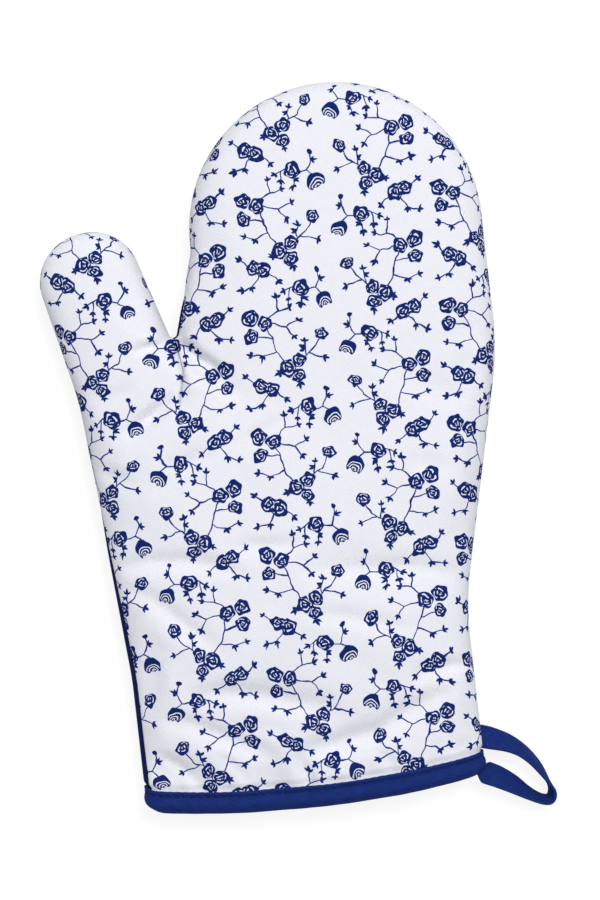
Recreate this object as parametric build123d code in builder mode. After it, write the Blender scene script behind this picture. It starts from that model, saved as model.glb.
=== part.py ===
"""Oven mitt, lying on its plain back with the printed front up.

The frame: +X along the cuff towards the loop, +Y from the cuff to the fingertips, +Z up.
The origin lies on the rest plane under the middle of the palm.
"""

import os
from math import atan2, cos, pi, radians, sin, sqrt

from build123d import *

os.makedirs("parts", exist_ok=True)

# Plan of the mitt
CUFF_WIDTH = 140.0
CUFF_SAG = 5.0
PALM_REACH = 114.0
HAND_WIDTH = 120.5
HAND_LEAN = 34.0
CROTCH_HEIGHT = 188.0
FINGER_LENGTH = 100.5
CROTCH_SET_OUT = 11.0
THUMB_WIDTH = 40.5
THUMB_LENGTH = 58.0
THUMB_LEAN = 17.0
THUMB_ROOT_WIDTH = 41.5
THUMB_ROOT_DROP = 19.0
WRIST_LEFT = 54.0
WRIST_RIGHT = 70.0
SHOULDER_RIGHT = 172.0
SIDE_BEND = 120.0
CROTCH_ROUND = 1.5
FINGER_BEND = 14.0
FINGER_SIDE = 2.5

# Heights of the stuffed shape
SIDE_HEIGHT = 26.0
CROWN_RISE = 7.0
CROWN_START = 29.0
CROWN_MARGIN = 6.0
CROWN_SINK = 0.5
SEAM_HEIGHT = 11.0
SEAM_BAND = 1.5

# Layers
COVER = 0.7
WADDING = 5.0
LINING = 0.5
THREAD = 0.5

# Bound cuff
TAPE = 0.9
BINDING_WIDTH = 8.0
STITCH_LINE = 6.0
STITCH_LENGTH = 2.2
STITCH_PITCH = 3.2
STITCH_GROOVE = 0.8
STITCH_GROOVE_DEPTH = 0.3

# Hanging loop
LOOP_WIDTH = 9.5
LOOP_TAPE = 1.8
LOOP_REACH = 25.0
LOOP_ROOT_GAP = 1.6
LOOP_ROOT = 14.0
LOOP_LIFT = 0.3
LOOP_STATIONS = 24

# Clearances of the moving parts
THUMB_GAP = 0.4
LOOP_CLEARANCE = 0.3

# Sizes that follow from those above
half_cuff = CUFF_WIDTH / 2
cuff_radius = (half_cuff**2 + CUFF_SAG**2) / (2 * CUFF_SAG)
cuff_y = -PALM_REACH
cuff_centre_y = cuff_y - CUFF_SAG + cuff_radius
tip_radius = HAND_WIDTH / 2 - 0.2
tip_left = HAND_LEAN - HAND_WIDTH / 2
tip_right = HAND_LEAN + HAND_WIDTH / 2
tip_y = cuff_y + CROTCH_HEIGHT + FINGER_LENGTH
finger_root_y = tip_y - tip_radius - FINGER_SIDE
crotch_x = tip_left - CROTCH_SET_OUT
crotch_y = cuff_y + CROTCH_HEIGHT
thumb_along = Vector(-sin(radians(THUMB_LEAN)), cos(radians(THUMB_LEAN)), 0)
thumb_across = Vector(-cos(radians(THUMB_LEAN)), -sin(radians(THUMB_LEAN)), 0)
thumb_inner = Vector(crotch_x, crotch_y, 0) + thumb_along * THUMB_LENGTH
thumb_outer = thumb_inner + thumb_across * THUMB_WIDTH
thumb_round = THUMB_WIDTH / 2 - 0.2
below_cuff_y = cuff_y - 4 * CUFF_SAG
front_round = SIDE_HEIGHT - SEAM_HEIGHT - SEAM_BAND
back_round = SEAM_HEIGHT - SEAM_BAND
wadding_in = COVER + WADDING
wall = wadding_in + LINING
thread_in = COVER + WADDING / 2
stitch_in = STITCH_GROOVE_DEPTH + 0.05
crotch_half_angle = (radians(THUMB_LEAN) + atan2(CROTCH_SET_OUT, finger_root_y - crotch_y)) / 2
hinge = Vector(crotch_x, crotch_y + CROTCH_ROUND * (1 / sin(crotch_half_angle) - 1), 0)
loop_hinge_x = half_cuff + LOOP_CLEARANCE + LOOP_TAPE / 2
loop_upper_y = cuff_y + LOOP_ROOT
loop_lower_y = loop_upper_y - LOOP_WIDTH - LOOP_ROOT_GAP
loop_low_z = LOOP_WIDTH / 2 + LOOP_LIFT

outline = [
    (half_cuff, below_cuff_y),
    (half_cuff, cuff_y + WRIST_RIGHT),
    (tip_right, cuff_y + SHOULDER_RIGHT),
    (tip_right, tip_y),
    (tip_left, tip_y),
    (tip_left, finger_root_y),
    (crotch_x, crotch_y),
    (thumb_inner.X, thumb_inner.Y),
    (thumb_outer.X, thumb_outer.Y),
    (crotch_x - THUMB_ROOT_WIDTH, crotch_y - THUMB_ROOT_DROP),
    (-half_cuff, cuff_y + WRIST_LEFT),
    (-half_cuff, below_cuff_y),
]
outline_rounds = [
    0,
    SIDE_BEND,
    SIDE_BEND,
    tip_radius,
    tip_radius,
    FINGER_BEND,
    CROTCH_ROUND,
    thumb_round,
    thumb_round,
    SIDE_BEND,
    SIDE_BEND,
    0,
]

# The crown's axis runs up the middle of the hand
crown_length = tip_y - cuff_y - front_round - CROWN_MARGIN - CROWN_START
crown_width = HAND_WIDTH - 2 * front_round - 2 * CROWN_MARGIN
crown_top = SIDE_HEIGHT + CROWN_RISE
crown_long_radius = ((crown_length / 2) ** 2 + CROWN_RISE**2) / (2 * CROWN_RISE)
crown_cross_radius = ((crown_width / 2) ** 2 + CROWN_RISE**2) / (2 * CROWN_RISE)
crown_mid = CROWN_START + crown_length / 2
axis_slope = HAND_LEAN / (tip_y - cuff_y - tip_radius)
hand_axis = Vector(axis_slope, 1, 0).normalized()
crown_plane = Plane(
    origin=(axis_slope * crown_mid, cuff_y + crown_mid, 0),
    x_dir=(hand_axis.X, hand_axis.Y, 0),
    z_dir=(hand_axis.Y, -hand_axis.X, 0),
)


def crown(inset):
    """The low dome over palm and fingers, inset from the outside by a distance."""
    sunk = CROWN_RISE + CROWN_SINK
    arc_radius = crown_long_radius - inset
    half = sqrt(arc_radius**2 - (arc_radius - sunk) ** 2)
    top = crown_top - inset
    spin = crown_top - crown_cross_radius
    with BuildPart() as dome:
        with BuildSketch(crown_plane):
            with BuildLine():
                ThreePointArc((-half, top - sunk), (0, top), (half, top - sunk))
                Polyline((half, top - sunk), (half, spin), (-half, spin), (-half, top - sunk))
            make_face()
        spin_from = crown_plane.from_local_coords(Vector(0, spin, 0))
        revolve(axis=Axis(spin_from, hand_axis), revolution_arc=360)
        split(bisect_by=Plane.XY.offset(top - sunk), keep=Keep.TOP)
    return dome.part


def mitt(inset):
    """The stuffed mitt's solid shape, inset from the outside by a distance."""
    with BuildPart() as body:
        with BuildSketch(Plane.XY.offset(inset)):
            with BuildLine():
                FilletPolyline(*outline, radius=outline_rounds, close=True)
            make_face()
            if inset > 0:
                offset(amount=-inset, kind=Kind.INTERSECTION)
        extrude(amount=SIDE_HEIGHT - 2 * inset)
        top_edges = body.edges().group_by(Axis.Z)[-1]
        bottom_edges = body.edges().group_by(Axis.Z)[0]
        fillet(top_edges, max(front_round - inset, 0.4))
        fillet(bottom_edges, max(back_round - inset, 0.4))
        add(crown(inset))
    return body.part


def beyond(distance):
    """Everything on the hand's side of a line parallel to the cuff's edge."""
    with BuildPart() as zone:
        with BuildSketch(Plane.XY.offset(-5)):
            with Locations((0, cuff_centre_y)):
                Circle(cuff_radius - distance)
        extrude(amount=SIDE_HEIGHT + CROWN_RISE + 10)
    return zone.part


def slab(low, high):
    """Everything between two heights."""
    with BuildPart() as block:
        with BuildSketch(Plane.XY.offset(low)):
            Rectangle(1000, 1000)
        extrude(amount=high - low)
    return block.part


def thumb_side(gap):
    """Everything on the thumb's side of the fold line through the crotch."""
    corner = hinge + thumb_along * gap
    reach = 3 * THUMB_LENGTH
    far = corner + thumb_across * reach
    with BuildPart() as zone:
        with BuildSketch(Plane.XY.offset(-5)):
            with BuildLine():
                Polyline(
                    (corner.X, corner.Y),
                    (corner.X, corner.Y + reach),
                    (far.X, corner.Y + reach),
                    (far.X, far.Y),
                    close=True,
                )
            make_face()
        extrude(amount=crown_top + 10)
    return zone.part


def layer(outer, inner, start, end=None):
    """What lies between two inset shapes, from one line along the cuff to another."""
    with BuildPart() as band:
        add(outer)
        add(inner, mode=Mode.SUBTRACT)
        add(start, mode=Mode.INTERSECT)
        if end is not None:
            add(end, mode=Mode.SUBTRACT)
    return band.part


outside = mitt(0)
under_tape = mitt(TAPE)
under_cover = mitt(COVER)
under_tucked_cover = mitt(TAPE + COVER)
under_wadding = mitt(wadding_in)
cavity = mitt(wall)
past_edge = beyond(-TAPE)
past_cuff = beyond(0)
past_binding = beyond(BINDING_WIDTH)
past_step = beyond(BINDING_WIDTH + COVER)
front_side = slab(SEAM_HEIGHT, crown_top + 5)
back_side = slab(-5, SEAM_HEIGHT)
seam_turn = slab(SEAM_HEIGHT - COVER, SEAM_HEIGHT + COVER)
hand_limit = thumb_side(0)
thumb_limit = thumb_side(THUMB_GAP)

with BuildPart() as wadding_space:
    add(layer(under_cover, under_wadding, past_step))
    add(layer(under_tucked_cover, under_wadding, past_cuff, past_step))

# One line of thread runs along the side seam, inside the turned edges of the covers
with BuildPart() as seam:
    add(layer(mitt(thread_in - THREAD / 2), mitt(thread_in + THREAD / 2), past_cuff))
    add(slab(SEAM_HEIGHT - THREAD / 2, SEAM_HEIGHT + THREAD / 2), mode=Mode.INTERSECT)

# The covers' edges turn in along the seam, and under the tape the covers lie lower
with BuildPart() as cover:
    add(wadding_space.part)
    add(seam_turn, mode=Mode.INTERSECT)
    add(layer(outside, under_cover, past_binding))
    add(layer(outside, under_tucked_cover, past_binding, past_step))
    add(layer(under_tape, under_tucked_cover, past_cuff, past_step))
    add(seam.part, mode=Mode.SUBTRACT)

with BuildPart() as wadding:
    add(wadding_space.part)
    add(seam_turn, mode=Mode.SUBTRACT)

lining = layer(under_wadding, cavity, past_cuff)

with BuildPart() as front_cover:
    add(cover.part)
    add(front_side, mode=Mode.INTERSECT)
    add(hand_limit, mode=Mode.SUBTRACT)
front_cover.part.label = "front_cover"
export_step(front_cover.part, "parts/front_cover.step")

with BuildPart() as front_cover_thumb:
    add(cover.part)
    add(front_side, mode=Mode.INTERSECT)
    add(thumb_limit, mode=Mode.INTERSECT)
front_cover_thumb.part.label = "front_cover_thumb"
export_step(front_cover_thumb.part, "parts/front_cover_thumb.step")

with BuildPart() as back_cover:
    add(cover.part)
    add(back_side, mode=Mode.INTERSECT)
    add(hand_limit, mode=Mode.SUBTRACT)
back_cover.part.label = "back_cover"
export_step(back_cover.part, "parts/back_cover.step")

with BuildPart() as back_cover_thumb:
    add(cover.part)
    add(back_side, mode=Mode.INTERSECT)
    add(thumb_limit, mode=Mode.INTERSECT)
back_cover_thumb.part.label = "back_cover_thumb"
export_step(back_cover_thumb.part, "parts/back_cover_thumb.step")

with BuildPart() as front_wadding:
    add(wadding.part)
    add(front_side, mode=Mode.INTERSECT)
    add(hand_limit, mode=Mode.SUBTRACT)
front_wadding.part.label = "front_wadding"
export_step(front_wadding.part, "parts/front_wadding.step")

with BuildPart() as front_wadding_thumb:
    add(wadding.part)
    add(front_side, mode=Mode.INTERSECT)
    add(thumb_limit, mode=Mode.INTERSECT)
front_wadding_thumb.part.label = "front_wadding_thumb"
export_step(front_wadding_thumb.part, "parts/front_wadding_thumb.step")

with BuildPart() as back_wadding:
    add(wadding.part)
    add(back_side, mode=Mode.INTERSECT)
    add(hand_limit, mode=Mode.SUBTRACT)
back_wadding.part.label = "back_wadding"
export_step(back_wadding.part, "parts/back_wadding.step")

with BuildPart() as back_wadding_thumb:
    add(wadding.part)
    add(back_side, mode=Mode.INTERSECT)
    add(thumb_limit, mode=Mode.INTERSECT)
back_wadding_thumb.part.label = "back_wadding_thumb"
export_step(back_wadding_thumb.part, "parts/back_wadding_thumb.step")

with BuildPart() as front_lining:
    add(lining)
    add(front_side, mode=Mode.INTERSECT)
    add(hand_limit, mode=Mode.SUBTRACT)
front_lining.part.label = "front_lining"
export_step(front_lining.part, "parts/front_lining.step")

with BuildPart() as front_lining_thumb:
    add(lining)
    add(front_side, mode=Mode.INTERSECT)
    add(thumb_limit, mode=Mode.INTERSECT)
front_lining_thumb.part.label = "front_lining_thumb"
export_step(front_lining_thumb.part, "parts/front_lining_thumb.step")

with BuildPart() as back_lining:
    add(lining)
    add(back_side, mode=Mode.INTERSECT)
    add(hand_limit, mode=Mode.SUBTRACT)
back_lining.part.label = "back_lining"
export_step(back_lining.part, "parts/back_lining.step")

with BuildPart() as back_lining_thumb:
    add(lining)
    add(back_side, mode=Mode.INTERSECT)
    add(thumb_limit, mode=Mode.INTERSECT)
back_lining_thumb.part.label = "back_lining_thumb"
export_step(back_lining_thumb.part, "parts/back_lining_thumb.step")

with BuildPart() as seam_thread:
    add(seam.part)
    add(hand_limit, mode=Mode.SUBTRACT)
seam_thread.part.label = "seam_thread"
export_step(seam_thread.part, "parts/seam_thread.step")

with BuildPart() as seam_thread_thumb:
    add(seam.part)
    add(thumb_limit, mode=Mode.INTERSECT)
seam_thread_thumb.part.label = "seam_thread_thumb"
export_step(seam_thread_thumb.part, "parts/seam_thread_thumb.step")

# The topstitch lies in the line that it pulls into the tape
with BuildPart() as stitch_line:
    add(mitt(stitch_in))
    add(beyond(STITCH_LINE), mode=Mode.INTERSECT)
stitch_path = stitch_line.faces().sort_by(Axis.Y)[0].outer_wire()
stitch_count = round(stitch_path.length / STITCH_PITCH)

with BuildPart() as binding_topstitch:
    with Locations(*[stitch_path.location_at(n / stitch_count) for n in range(stitch_count)]):
        Cylinder(THREAD / 2, STITCH_LENGTH)
binding_topstitch.part.label = "binding_topstitch"
export_step(binding_topstitch.part, "parts/binding_topstitch.step")

with BuildPart() as cuff_binding:
    add(layer(outside, under_tape, past_cuff, past_binding))
    add(layer(cavity, mitt(wall + TAPE), past_cuff, past_binding))
    add(layer(outside, mitt(wall + TAPE), past_edge, past_cuff))
    groove_start = beyond(STITCH_LINE - STITCH_GROOVE / 2)
    groove_end = beyond(STITCH_LINE + STITCH_GROOVE / 2)
    add(layer(outside, mitt(STITCH_GROOVE_DEPTH), groove_start, groove_end), mode=Mode.SUBTRACT)
    add(binding_topstitch.part, mode=Mode.SUBTRACT)
cuff_binding.part.label = "cuff_binding"
export_step(cuff_binding.part, "parts/cuff_binding.step")

# The loop's tape lies flat where it is sewn in and stands on edge where it turns
with BuildLine() as loop_plan:
    Spline(
        (loop_hinge_x, loop_upper_y),
        (loop_hinge_x + 0.48 * LOOP_REACH, loop_upper_y - 0.18 * LOOP_REACH),
        (loop_hinge_x + 0.82 * LOOP_REACH, loop_upper_y - 0.53 * LOOP_REACH),
        (loop_hinge_x + 1.00 * LOOP_REACH, loop_upper_y - 0.96 * LOOP_REACH),
        (loop_hinge_x + 0.89 * LOOP_REACH, loop_upper_y - 1.12 * LOOP_REACH),
        (loop_hinge_x + 0.60 * LOOP_REACH, loop_lower_y - 0.53 * LOOP_REACH),
        (loop_hinge_x + 0.28 * LOOP_REACH, loop_lower_y - 0.20 * LOOP_REACH),
        (loop_hinge_x, loop_lower_y),
        tangents=((1, 0), (-1, 0)),
    )

with BuildPart() as hanging_loop:
    for n in range(LOOP_STATIONS + 1):
        spot = loop_plan.line @ (n / LOOP_STATIONS)
        heading = loop_plan.line % (n / LOOP_STATIONS)
        turned = sin(pi * n / LOOP_STATIONS) ** 2
        height = SEAM_HEIGHT + (loop_low_z - SEAM_HEIGHT) * turned
        left = Vector(-heading.Y, heading.X, 0)
        across = left * cos(turned * pi / 2) - Vector(0, 0, sin(turned * pi / 2))
        with BuildSketch(Plane(origin=(spot.X, spot.Y, height), x_dir=across, z_dir=heading)):
            Rectangle(LOOP_WIDTH, LOOP_TAPE)
    loft(ruled=True)
    for root_y in (loop_upper_y, loop_lower_y):
        with BuildSketch(Plane.XZ.offset(-root_y - LOOP_WIDTH / 2)):
            with Locations((loop_hinge_x, SEAM_HEIGHT)):
                Circle(LOOP_TAPE / 2)
        extrude(amount=LOOP_WIDTH)
hanging_loop.part.label = "hanging_loop"
export_step(hanging_loop.part, "parts/hanging_loop.step")
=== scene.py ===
"""Oven mitt: printed front, blue back, wadding, lining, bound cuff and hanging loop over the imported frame.

Lengths are written in millimetres in the part's own frame and become metres when a mesh is made.
"""
from functools import partial
from math import atan2, ceil, cos, pi, radians, sin, tan

import bpy
import numpy as np
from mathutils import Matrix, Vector
from mathutils.geometry import delaunay_2d_cdt


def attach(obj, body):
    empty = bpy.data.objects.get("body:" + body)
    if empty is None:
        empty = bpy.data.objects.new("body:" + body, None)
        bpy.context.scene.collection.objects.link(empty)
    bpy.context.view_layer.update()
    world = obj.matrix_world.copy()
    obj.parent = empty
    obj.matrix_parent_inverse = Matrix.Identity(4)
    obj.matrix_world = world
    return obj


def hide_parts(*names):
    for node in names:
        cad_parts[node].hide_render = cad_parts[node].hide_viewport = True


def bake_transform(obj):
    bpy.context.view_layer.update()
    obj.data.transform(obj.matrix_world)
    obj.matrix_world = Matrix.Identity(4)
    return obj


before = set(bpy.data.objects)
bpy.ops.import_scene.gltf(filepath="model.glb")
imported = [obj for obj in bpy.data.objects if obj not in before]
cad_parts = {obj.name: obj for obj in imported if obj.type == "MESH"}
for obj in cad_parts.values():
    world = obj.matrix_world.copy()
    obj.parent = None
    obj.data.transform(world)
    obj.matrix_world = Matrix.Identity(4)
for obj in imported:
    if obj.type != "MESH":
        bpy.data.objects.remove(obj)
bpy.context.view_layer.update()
scene = bpy.context.scene

# sizes, as in the part's source (mm)
MM = 0.001
CUFF_HALF, CUFF_SIDE_Y = 70.0, -114.0  # the cuff's half width, and its edge at the side seams
CUFF_CENTRE_Y, CUFF_RADIUS = 373.5, 492.5  # the arc that the cuff's edge follows
SEAM_HEIGHT = 11.0
HINGE = np.array((-37.25, 77.756))  # the bottom of the crotch, where the thumb folds
THUMB_ALONG = np.array((-0.292372, 0.956305))
CROTCH_ROUND = 1.5
COVER, LINING = 0.7, 0.5  # thicknesses
WALL = 6.2  # cover, wadding and lining together; the lining's face lies so far below the cover's
TAPE_HALF_WIDTH, TAPE_HALF_THICK = 4.75, 0.9  # the loop's folded tape

# sizes that are the scene's own (mm)
WADDING = 4.4  # thickness, less than the solid's, so that it stays between cover and lining
BINDING_WIDTH = 8.4
ROLL_REACH, ROLL_POWER = 15.0, 2.8  # how far in the padded side rolls over, and how squarely
ROLL_HIGH = 15.0  # the height taken for it where the flat cloth is measured
POINT_SPACING, CROTCH_SPACING = 1.3, 0.55  # of points along the seam, closer where the crease starts
RAW_EDGE, LINING_EDGE = 2.0, 4.0  # how far up inside the tape the raw edges stop
PRESSED_DEPTH = 5.0  # layers less deep than this are pressed in by the tape
SEAM_PULL = 0.75  # how far the seam draws the cloth in
BACK_SHY = 0.9  # how far the back keeps in where the front hides it
CROTCH_EASE = 28.0  # along the seam from the crotch, until the flat cloth is full size
FLAT_SPAN, FLAT_X, FLAT_Y = 340.0, 110.0, 140.0  # the flat cloth's place in its UV square


def smooth(t):
    """From 0 to 1, level at both ends."""
    t = np.clip(t, 0.0, 1.0)
    return t * t * (3.0 - 2.0 * t)


def run_along(points):
    """How far along a line of points each of them is."""
    return np.concatenate([[0.0], np.cumsum(np.linalg.norm(np.diff(points, axis=0), axis=1))])


# the mitt's outline, right cuff corner to left
CORNERS = [(70, CUFF_SIDE_Y), (70, -44), (94.25, 58), (94.25, 174.5), (-26.25, 174.5), (-26.25, 111.95),
           (-37.25, 74), (-54.21, 129.47), (-92.94, 117.63), (-78.75, 55), (-70, -60), (-70, CUFF_SIDE_Y)]
ROUNDS = [0, 120, 120, 60.05, 60.05, 14, CROTCH_ROUND, 20.05, 20.05, 120, 120, 0]


def outline():
    """Points along the seam and the direction into the panel at each; the panel is on the left."""
    corners = np.array(CORNERS, float)
    legs = corners[1:] - corners[:-1]
    along = legs / np.linalg.norm(legs, axis=1)[:, None]
    left = np.stack([-along[:, 1], along[:, 0]], 1)
    points, inward = [], []
    place = corners[0]
    for i in range(len(legs)):
        turn = cut = 0.0
        if i + 1 < len(legs):
            crossed = along[i][0] * along[i + 1][1] - along[i][1] * along[i + 1][0]
            turn = atan2(crossed, along[i] @ along[i + 1])
            cut = ROUNDS[i + 1] * tan(abs(turn) / 2)
        end = corners[i + 1] - along[i] * cut
        count = max(1, ceil(np.linalg.norm(end - place) / POINT_SPACING))
        for k in range(count):
            points.append(place + (end - place) * k / count)
            inward.append(left[i])
        if cut:
            side = 1.0 if turn > 0 else -1.0
            radius = ROUNDS[i + 1]
            centre = end + left[i] * radius * side
            spacing = CROTCH_SPACING if radius == CROTCH_ROUND else POINT_SPACING
            reach = radius if turn > 0 else radius + ROLL_REACH
            count = 2 * ceil(abs(turn) * reach / spacing / 2)
            dx, dy = -left[i] * side
            for k in range(count):
                a = turn * k / count
                spoke = np.array((dx * cos(a) - dy * sin(a), dx * sin(a) + dy * cos(a)))
                points.append(centre + spoke * radius)
                inward.append(-spoke * side)
            end = corners[i + 1] + along[i + 1] * cut
        place = end
    points.append(corners[-1])
    inward.append(left[-1])
    return np.array(points), np.array(inward)


EDGE, INWARD = outline()
EDGE_RUN = run_along(EDGE)
ROLLED = EDGE + INWARD * ROLL_REACH
AT_CROTCH = int(np.argmin(np.linalg.norm(EDGE - HINGE, axis=1)))
PAST_CROTCH = 61  # columns from the crotch in which the root's left end isn't looked for


def across_root():
    """The column on the left side where the line across the thumb's root, from the crotch, comes out."""
    off_line = np.abs((ROLLED - ROLLED[AT_CROTCH]) @ THUMB_ALONG)
    off_line[:AT_CROTCH + PAST_CROTCH] = np.inf
    return int(np.argmin(off_line))


AT_LEFT = across_root()
AT_CREASE = AT_CROTCH - 4  # the crease in the crotch starts down this column of the roll
FROM_CROTCH = np.abs(EDGE_RUN - EDGE_RUN[AT_CROTCH])
ALL = np.arange(len(EDGE))
FEWER = np.unique(np.concatenate([ALL[::4], [AT_CROTCH, AT_LEFT, ALL[-1]]]))


def in_plan(columns, inset):
    """Places in plan, rings by columns, that lie so far in from the seam."""
    return EDGE[columns][None] + INWARD[columns][None] * inset[..., None]


def in_loop(x, y, loop):
    """Which places in plan lie inside a closed line of points."""
    inside = np.zeros(np.shape(x), bool)
    for (x0, y0), (x1, y1) in zip(loop, np.roll(loop, -1, axis=0)):
        if y0 != y1:
            inside ^= ((y0 > y) != (y1 > y)) & (x < (x1 - x0) * (y - y0) / (y1 - y0) + x0)
    return inside


def off_stretch(x, y, a, b):
    """Distance of places in plan from a straight stretch, and the part of it before their nearest points."""
    d = b - a
    part = np.clip(((x - a[0]) * d[0] + (y - a[1]) * d[1]) / max(d @ d, 1e-12), 0, 1)
    return np.hypot(x - a[0] - d[0] * part, y - a[1] - d[1] * part), part


# the padded front
GRID, GRID_HALF, GRID_TOP = 2.0, 106.0, 180.0  # the membrane's grid: its step, half width and top
FAR_BELOW = -260.0  # how far down it runs on past the cuff
SWEEPS, OVER_RELAX = 350, 1.92
SIDE_RISE, CROWN_RISE = 9.6, 11.2  # the front's height over the seam beside the roll, and more inside
CUFF_SHARE, CUFF_FADE = 0.70, 75.0  # the share of that height at the cuff, and how far up it grows


def fullness():
    """A membrane blown up over the outline, which is how wadding fills a sewn panel; 1 at its fullest."""
    xs = np.arange(-GRID_HALF, GRID_HALF + GRID / 2, GRID)
    ys = np.arange(FAR_BELOW - GRID, GRID_TOP + GRID / 2, GRID)
    x, y = np.meshgrid(xs, ys, indexing="ij")
    inside = in_loop(x, y, np.concatenate([[(CUFF_HALF, FAR_BELOW)], EDGE, [(-CUFF_HALF, FAR_BELOW)]]))
    odd = (np.indices(x.shape).sum(0) % 2).astype(bool)
    field = np.zeros_like(x)
    for _ in range(SWEEPS):
        for half in (odd & inside, ~odd & inside):
            around = sum(np.roll(field, step, axis) for axis in (0, 1) for step in (1, -1))
            level = (around + GRID * GRID) / 4
            field = np.where(half, field + OVER_RELAX * (level - field), field)
    return xs, ys, field / field[:, ys > CUFF_SIDE_Y].max()


FULL_X, FULL_Y, FULL = fullness()
WRINKLES = np.zeros_like(FULL)  # what the cloth simulation adds to the front, in millimetres


def on_grid(field, x, y):
    """A field of the membrane's grid at places in plan."""
    u = np.clip((x - FULL_X[0]) / GRID, 0, len(FULL_X) - 1.001)
    v = np.clip((y - FULL_Y[0]) / GRID, 0, len(FULL_Y) - 1.001)
    i, j = u.astype(int), v.astype(int)
    u, v = u - i, v - j
    return ((field[i, j] * (1 - u) + field[i + 1, j] * u) * (1 - v)
            + (field[i, j + 1] * (1 - u) + field[i + 1, j + 1] * u) * v)


def rise(x, y):
    """Height of the padded front over the seam, before folds."""
    share = CUFF_SHARE + (1 - CUFF_SHARE) * smooth((y - CUFF_SIDE_Y) / CUFF_FADE)
    return (SIDE_RISE + CROWN_RISE * np.sqrt(np.clip(on_grid(FULL, x, y), 0, 1))) * share


def groove(x, y, path, depth, width, taper, tight=False):
    """A soft valley (a ridge, with a negative depth) or a tight fold along a line of points."""
    near, part = np.full(np.shape(x), np.inf), np.zeros(np.shape(x))
    path = np.array(path, float)
    run = run_along(path)
    for k in range(len(path) - 1):
        away, along = off_stretch(x, y, path[k], path[k + 1])
        part = np.where(away < near, (run[k] + along * (run[k + 1] - run[k])) / run[-1], part)
        near = np.minimum(near, away)
    strength = {"middle": np.sin(pi * np.clip(part, 0.02, 0.98)), "start": (1 - part) ** 0.8,
                "held": 1 - part ** 4}[taper]
    return -depth * strength * np.exp(-near / width if tight else -(near / width) ** 2)


CROTCH_CREASE = [tuple(EDGE[AT_CREASE]), tuple(ROLLED[AT_CREASE]),
                 (-35.9, 55.5), (-37.4, 50.5), (-39.6, 46.0)]
CREASE_FOLDS = [(2.2, 1.5), (3.8, 0.2)]  # depth and width in the cover: a narrow valley, a tight fold in it
CREASE_HOLLOW = (6.2, 3.2)  # and in the layers below it
FOLDS = [  # path, depth, width, where it is deepest
    # round the crotch
    (CROTCH_CREASE, 2.2, 3.6, "start"),
    ([(-34, 78), (-27, 80), (-18, 83)], 1.6, 1.8, "start"),
    ([(-34, 76), (-27, 76), (-18, 77)], -1.0, 2.4, "start"),
    ([(-35, 74), (-28, 65), (-19, 56), (-9, 48)], 5.4, 4.0, "start"),
    ([(-35, 75), (-28, 68), (-20, 62), (-14, 58)], 2.6, 2.4, "middle"),
    ([(-34, 70), (-32, 62), (-32, 52)], -1.2, 2.6, "middle"),
    ([(-38, 74), (-45, 74), (-54, 73)], 2.8, 2.2, "middle"),
    ([(-38, 78), (-46, 78), (-55, 78)], -1.5, 3.0, "middle"),
    ([(-62, 38), (-52, 44), (-43, 50), (-38, 54)], 3.6, 3.2, "middle"),
    ([(-76, 55), (-64, 56), (-53, 58)], 0.8, 3.2, "middle"),
    ([(-20, 30), (-11, 32), (0, 37), (10, 39)], 1.4, 3.4, "middle"),
    ([(-47, 25), (-35, 26), (-25, 29)], 1.4, 3.2, "middle"),
    ([(-77, 28), (-68, 24), (-57, 19)], 1.2, 3.0, "middle"),
    ([(50, 16), (62, 13), (72, 10)], 1.2, 4.6, "middle"),
    # across the wrist
    ([(-74, -15), (-58, -13), (-43, -14), (-27, -18), (-15, -24)], 1.8, 3.4, "middle"),
    ([(-28, -11), (-14, -11), (-3, -12), (10, -10)], 1.7, 3.4, "middle"),
    ([(-5, -23), (24, -25), (45, -26), (59, -29), (76, -36)], 1.2, 3.8, "middle"),
    ([(-6, -37), (22, -44), (42, -50), (55, -51)], 1.5, 3.8, "middle"),
    ([(-71, -22), (-59, -26), (-48, -37), (-38, -46), (-31, -51)], 1.3, 3.4, "middle"),
    # above the cuff
    ([(-51, -67), (-33, -68), (-18, -71), (-2, -76), (16, -79)], 1.8, 4.2, "middle"),
    ([(43, -71), (56, -69), (72, -70)], 2.2, 3.0, "middle"),
    ([(-61, -75), (-46, -80), (-35, -86), (-23, -91), (-11, -96)], 1.9, 3.8, "middle"),
    ([(-14, -93), (4, -93), (17, -91), (29, -90), (40, -84), (49, -81), (60, -78)], 2.2, 4.2, "middle"),
    ([(-7, -94), (-4, -101), (-2, -108)], 1.7, 2.6, "middle"),
    ([(-72, -99), (-50, -103), (-25, -106), (5, -107)], 2.4, 10.0, "middle"),
    ([(-63, -90), (-53, -98), (-45, -107)], 1.1, 2.4, "middle"),
    ([(-40, -91), (-31, -98), (-26, -107)], 1.0, 2.2, "middle"),
    ([(24, -96), (30, -101), (33, -107)], 0.9, 2.4, "middle"),
]


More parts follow.
